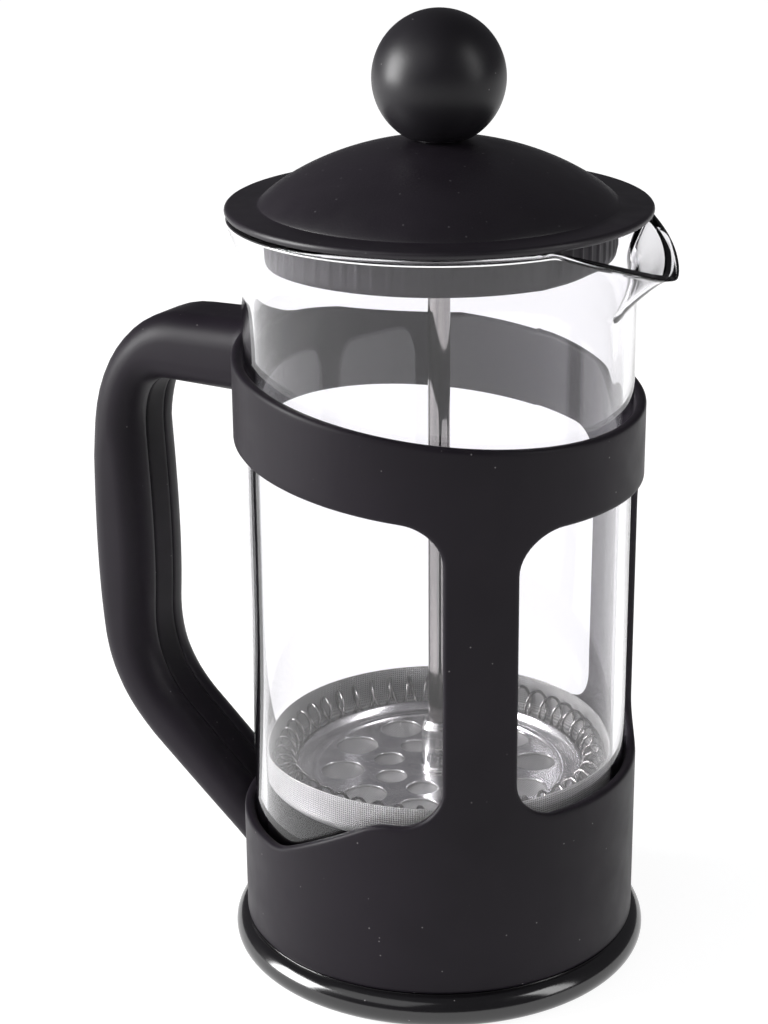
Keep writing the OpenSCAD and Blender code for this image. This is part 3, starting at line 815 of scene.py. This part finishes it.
def makeSpringPlate():
    f = filterSizes
    outer = plateHigh.x
    holes = ringOfHoles(f["largeHoles"], f["largeAt"], f["largeHole"], 0)
    holes += ringOfHoles(f["smallHoles"], f["smallAt"], f["smallHole"], f["smallTurn"])
    holes.append(circleLine((0, 0), f["rodRadius"] + 0.02, 32, False))
    bm = roundedSlab([circleLine((0, 0), outer - 0.5, 160, True)] + holes, [], f["plate"], 0.15, 0.1)
    for vert in bm.verts:
        vert.co.z += plateLow.z
    # the raised edge and the pressed bead
    wall = f["plate"]
    low, high = plateLow.z, plateHigh.z
    rim = [(outer - wall - 0.5, low + 0.02), (outer - 0.4, low + 0.02), (outer, low + 0.5),
           (outer, high - 0.1), (outer - 0.1, high), (outer - wall, high - 0.1), (outer - wall, low + 0.7)]
    turnOutline(bm, rim, 160)
    top = plateLow.z + wall
    bead = [(f["beadAt"] + x, top - 0.1 + y) for x, y in arcPoints((0, 0), f["bead"], 0, 180, 8)]
    turnOutline(bm, bead, 160)
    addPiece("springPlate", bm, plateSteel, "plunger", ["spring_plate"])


def makeEdgeSpring():
    # a thin wire wound into a coil, and the coil bent into a ring round the plate
    f = filterSizes
    coilRadius = (coilHigh.z - coilLow.z) / 2 - f["wire"]
    ringRadius = coilHigh.x - (coilHigh.z - coilLow.z) / 2
    middle = coilLow.z + f["wire"] + f["tall"]
    curve = bpy.data.curves.new("edgeSpring", "CURVE")
    curve.dimensions = "3D"
    curve.bevel_depth = f["wire"] * mm
    curve.bevel_resolution = 2
    curve.use_fill_caps = True
    count = f["turns"] * f["wirePoints"]
    line = curve.splines.new("POLY")
    line.points.add(count - 1)
    for k in range(count):
        around = 2 * math.pi * k / count
        wound = around * f["turns"]
        reach = ringRadius + coilRadius * math.cos(wound)
        height = middle + f["tall"] * math.sin(wound)
        place = Vector((reach * math.cos(around), reach * math.sin(around), height))
        line.points[k].co = (*(place * mm), 1)
    line.use_cyclic_u = True
    line.use_smooth = True
    piece = bpy.data.objects.new("edgeSpring", curve)
    bpy.context.scene.collection.objects.link(piece)
    curve.materials.append(coilSteel)
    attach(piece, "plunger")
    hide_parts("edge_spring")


def makeMeshScreen():
    # a cup of woven wire: flat under the plate, rounded under the coil, upright at the glass
    wall = filterSizes["meshWall"]
    out = meshHigh.x
    coil = (coilHigh.z - coilLow.z) / 2
    ring = coilHigh.x - coil
    bend = out - ring
    middle = (coilHigh.z + coilLow.z) / 2
    inner = filterSizes["rodRadius"] + 0.02
    radii = [inner, 5, 9, 13, 17, 21, 25]
    lower = [(r, meshLow.z) for r in radii] + arcPoints((ring, middle), bend, -90, 0, 10)
    upper = [(r, meshLow.z + wall) for r in radii] + arcPoints((ring, middle), bend - wall, -90, 0, 10)
    outline = lower + [(out, meshHigh.z - 0.2), (out - wall / 2, meshHigh.z), (out - wall, meshHigh.z - 0.2)]
    outline += list(reversed(upper))
    bm = bmesh.new()
    turnOutline(bm, outline, 160)
    flat = bm.loops.layers.uv.new("UVMap")
    for face in bm.faces:
        centre = face.calc_center_median()
        upright = math.hypot(centre.x, centre.y) > ring
        for loop in face.loops:
            x, y, z = loop.vert.co
            if upright:
                angle = math.atan2(y, x) - math.atan2(centre.y, centre.x)
                angle = (angle + math.pi) % (2 * math.pi) - math.pi
                loop[flat].uv = ((angle + math.atan2(centre.y, centre.x)) * out, z)
            else:
                loop[flat].uv = (x, y)
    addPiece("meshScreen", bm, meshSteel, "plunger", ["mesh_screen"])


makeRod()
makeHub()
makeSpringPlate()
makeEdgeSpring()
makeMeshScreen()
for nodeName, finish in (("cross_plate", plateSteel), ("hub_nut", hubSteel), ("knob_insert", insertBrass)):
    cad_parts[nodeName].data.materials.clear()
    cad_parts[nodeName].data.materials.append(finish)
print("plunger made")


# ball knob
knob = {"bore": 3.2, "boreDepth": 10.0, "edge": 0.35}


def makeKnob():
    radius = (ballHigh.x - ballLow.x) / 2
    centre = ballHigh.z - radius
    bore, flat = knob["bore"], ballLow.z
    low = math.degrees(math.asin((flat - centre) / radius))
    outline = [(bore, flat), (math.sqrt(radius ** 2 - (flat - centre) ** 2) - knob["edge"], flat)]
    outline += arcPoints((0, centre), radius, low + 1.5, 90, 60)
    outline[-1] = (0, ballHigh.z)
    outline += [(0, flat + knob["boreDepth"] + 1), (bore, flat + knob["boreDepth"])]
    bm = bmesh.new()
    turnOutline(bm, outline, 160)
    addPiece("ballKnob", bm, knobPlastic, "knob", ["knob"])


makeKnob()
print("knob made")


# floor, lights and camera
studio = {"floorTone": 0.27, "floorGlow": 0.90, "airTone": (0.95, 0.93, 1, 1), "air": 0.12,
          "aim": (0, 0, 0.09)}


def makeFloor():
    material, nodes, links, shader = newFinish("paleFloor")
    shader.inputs["Base Color"].default_value = (*[studio["floorTone"]] * 3, 1)
    shader.inputs["Roughness"].default_value = 0.9
    shader.inputs["Emission Color"].default_value = (1, 1, 1, 1)
    shader.inputs["Emission Strength"].default_value = studio["floorGlow"]  # pale far from the lamps too
    bm = bmesh.new()
    bmesh.ops.create_grid(bm, x_segments=2, y_segments=2, size=4)
    mesh = bpy.data.meshes.new("floor")
    bm.to_mesh(mesh)
    bm.free()
    mesh.materials.append(material)
    floor = bpy.data.objects.new("floor", mesh)
    bpy.context.scene.collection.objects.link(floor)


def addSoftbox(name, place, width, height, power):
    light = bpy.data.lights.new(name, "AREA")
    light.shape = "RECTANGLE"
    light.size = width
    light.size_y = height
    light.energy = power
    lamp = bpy.data.objects.new(name, light)
    lamp.location = place
    lamp.rotation_euler = (Vector(studio["aim"]) - Vector(place)).to_track_quat("-Z", "Y").to_euler()
    bpy.context.scene.collection.objects.link(lamp)


camera = {"place": (0.211962, -0.367683, 0.236826), "heading": 30.0 + 1.335, "pitch": 21.634, "roll": -0.506,
          "lens": 2468.73 / 1024 * 36, "shiftUp": 88 / 1024}


def makeCamera():
    data = bpy.data.cameras.new("camera")
    data.sensor_fit = "VERTICAL"
    data.sensor_height = 36
    data.lens = camera["lens"]
    data.shift_y = camera["shiftUp"]
    data.clip_start = 0.01
    view = bpy.data.objects.new("camera", data)
    turn = (Matrix.Rotation(math.radians(camera["heading"]), 4, "Z")
            @ Matrix.Rotation(math.radians(90 - camera["pitch"]), 4, "X")
            @ Matrix.Rotation(math.radians(camera["roll"]), 4, "Z"))
    view.matrix_world = Matrix.Translation(camera["place"]) @ turn
    bpy.context.scene.collection.objects.link(view)
    bpy.context.scene.camera = view


makeFloor()
addSoftbox("mainSoftbox", (-0.25, -1.1, 1.15), 1.3, 1.0, 4)
addSoftbox("keySoftbox", (-1.15, -0.80, 0.50), 0.8, 0.9, 46)
addSoftbox("rightSoftbox", (1.2, 0.15, 0.7), 0.4, 1.0, 6)
world = bpy.data.worlds.new("studio")
world.use_nodes = True
air = world.node_tree.nodes["Background"]
air.inputs["Color"].default_value = studio["airTone"]
air.inputs["Strength"].default_value = studio["air"]
bpy.context.scene.world = world
bpy.context.scene.view_settings.view_transform = "Standard"
makeCamera()
print("studio ready")
